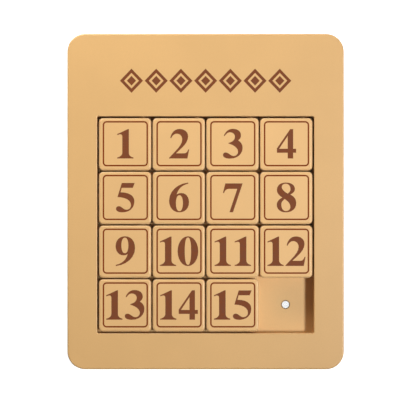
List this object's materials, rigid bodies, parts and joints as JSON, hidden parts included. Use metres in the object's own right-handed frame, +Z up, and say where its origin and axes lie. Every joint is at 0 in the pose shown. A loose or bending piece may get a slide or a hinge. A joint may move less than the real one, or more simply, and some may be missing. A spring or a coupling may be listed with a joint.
{
  "type": "sliding tile puzzle",
  "caption": "Wood-coloured frame round a square well of numbered square tiles with one empty cell; tiles slide into it one at a time, held down by small round magnets.",
  "frame": {"origin": "on the surface that the feet stand on, under the middle of the frame's outline", "axes": "+Z up out of the face with the numerals, +Y towards the broad border above the tiles, +X to the right of the numerals"},
  "size_m": [0.103, 0.125, 0.0137],
  "materials": {
    "frame_plastic": "fine matte, wood-coloured, smooth",
    "tile_plastic": "fine matte, wood-coloured, with brown paint in the engraved ring and numeral",
    "base_plastic": "fine matte, wood-coloured",
    "magnet_nickel": "bright nickel plating",
    "screw_steel": "zinc-plated",
    "foot_rubber": "matte",
    "engraving_paint": "brown paint wiped into the engraved rings, numerals and border pattern"
  },
  "bodies": {
    "case": {"front_frame": "frame_plastic", "well_floor": "frame_plastic", "back_cover": "frame_plastic", "cell_magnets": "magnet_nickel", "cover_screws": "screw_steel", "rubber_feet": "foot_rubber"},
    "tile_01": {"tile_01_cap": "tile_plastic", "tile_01_base": "base_plastic", "tile_01_magnet": "magnet_nickel"},
    "tile_02": {"tile_02_cap": "tile_plastic", "tile_02_base": "base_plastic", "tile_02_magnet": "magnet_nickel"},
    "tile_03": {"tile_03_cap": "tile_plastic", "tile_03_base": "base_plastic", "tile_03_magnet": "magnet_nickel"},
    "tile_04": {"tile_04_cap": "tile_plastic", "tile_04_base": "base_plastic", "tile_04_magnet": "magnet_nickel"},
    "tile_05": {"tile_05_cap": "tile_plastic", "tile_05_base": "base_plastic", "tile_05_magnet": "magnet_nickel"},
    "tile_06": {"tile_06_cap": "tile_plastic", "tile_06_base": "base_plastic", "tile_06_magnet": "magnet_nickel"},
    "tile_07": {"tile_07_cap": "tile_plastic", "tile_07_base": "base_plastic", "tile_07_magnet": "magnet_nickel"},
    "tile_08": {"tile_08_cap": "tile_plastic", "tile_08_base": "base_plastic", "tile_08_magnet": "magnet_nickel"},
    "tile_09": {"tile_09_cap": "tile_plastic", "tile_09_base": "base_plastic", "tile_09_magnet": "magnet_nickel"},
    "tile_10": {"tile_10_cap": "tile_plastic", "tile_10_base": "base_plastic", "tile_10_magnet": "magnet_nickel"},
    "tile_11": {"tile_11_cap": "tile_plastic", "tile_11_base": "base_plastic", "tile_11_magnet": "magnet_nickel"},
    "tile_12": {"tile_12_cap": "tile_plastic", "tile_12_base": "base_plastic", "tile_12_magnet": "magnet_nickel"},
    "tile_13": {"tile_13_cap": "tile_plastic", "tile_13_base": "base_plastic", "tile_13_magnet": "magnet_nickel"},
    "tile_14": {"tile_14_cap": "tile_plastic", "tile_14_base": "base_plastic", "tile_14_magnet": "magnet_nickel"},
    "tile_15": {"tile_15_cap": "tile_plastic", "tile_15_base": "base_plastic", "tile_15_magnet": "magnet_nickel"}
  },
  "joints": [
    {"name": "tile_01_lift", "type": "slide", "parent": "case", "child": "tile_01", "axis": [0, 0, 1], "range_m": [0, 0.012]},
    {"name": "tile_02_lift", "type": "slide", "parent": "case", "child": "tile_02", "axis": [0, 0, 1], "range_m": [0, 0.012]},
    {"name": "tile_03_lift", "type": "slide", "parent": "case", "child": "tile_03", "axis": [0, 0, 1], "range_m": [0, 0.012]},
    {"name": "tile_04_lift", "type": "slide", "parent": "case", "child": "tile_04", "axis": [0, 0, 1], "range_m": [0, 0.012]},
    {"name": "tile_05_lift", "type": "slide", "parent": "case", "child": "tile_05", "axis": [0, 0, 1], "range_m": [0, 0.012]},
    {"name": "tile_06_lift", "type": "slide", "parent": "case", "child": "tile_06", "axis": [0, 0, 1], "range_m": [0, 0.012]},
    {"name": "tile_07_lift", "type": "slide", "parent": "case", "child": "tile_07", "axis": [0, 0, 1], "range_m": [0, 0.012]},
    {"name": "tile_08_lift", "type": "slide", "parent": "case", "child": "tile_08", "axis": [0, 0, 1], "range_m": [0, 0.012]},
    {"name": "tile_09_lift", "type": "slide", "parent": "case", "child": "tile_09", "axis": [0, 0, 1], "range_m": [0, 0.012]},
    {"name": "tile_10_lift", "type": "slide", "parent": "case", "child": "tile_10", "axis": [0, 0, 1], "range_m": [0, 0.012]},
    {"name": "tile_11_lift", "type": "slide", "parent": "case", "child": "tile_11", "axis": [0, 0, 1], "range_m": [0, 0.012]},
    {"name": "tile_12_slide", "type": "slide", "parent": "case", "child": "tile_12", "axis": [0, 1, 0], "range_m": [-0.02, 0]},
    {"name": "tile_13_lift", "type": "slide", "parent": "case", "child": "tile_13", "axis": [0, 0, 1], "range_m": [0, 0.012]},
    {"name": "tile_14_lift", "type": "slide", "parent": "case", "child": "tile_14", "axis": [0, 0, 1], "range_m": [0, 0.012]},
    {"name": "tile_15_slide", "type": "slide", "parent": "case", "child": "tile_15", "axis": [1, 0, 0], "range_m": [0, 0.02]}
  ]
}
